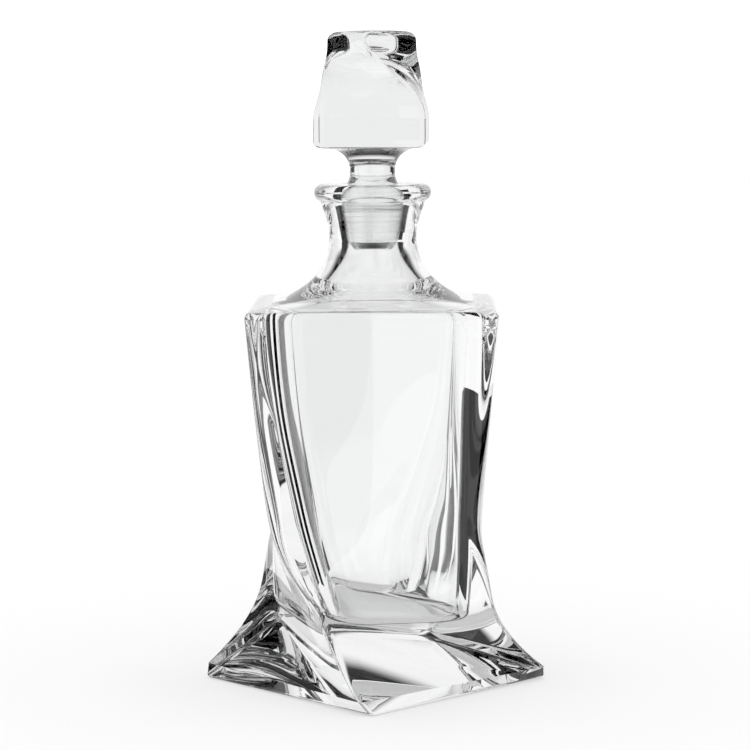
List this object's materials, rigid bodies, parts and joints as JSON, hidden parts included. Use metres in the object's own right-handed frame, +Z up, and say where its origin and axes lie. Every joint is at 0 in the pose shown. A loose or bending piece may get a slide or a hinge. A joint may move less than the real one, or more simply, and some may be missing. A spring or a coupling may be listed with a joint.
{
  "type": "wine decanter",
  "caption": "Heavy clear-glass square decanter twisting into a flared foot, with a round neck, a beaded rim and a lift-out ground-glass stopper with a twisted square head.",
  "frame": {"origin": "centre of the flat underside of the foot, which is the centre of the bottom of the part's box", "axes": "+Z up the bottle's axis, through the neck and the stopper; the shoulder's four sides face +X, +Y, -X and -Y, and the foot's corners point along them"},
  "size_m": [0.1414, 0.1414, 0.27],
  "materials": {
    "bottle_glass": "clear, colourless, fire-polished",
    "stopper_glass": "clear and polished, with a ground, frosted plug"
  },
  "bodies": {
    "bottle": {"bottle": "bottle_glass"},
    "stopper": {"stopper": "stopper_glass"}
  },
  "joints": [
    {"name": "stopper_lift", "type": "slide", "parent": "bottle", "child": "stopper", "axis": [0, 0, 1], "range_m": [0, 0.08]}
  ]
}
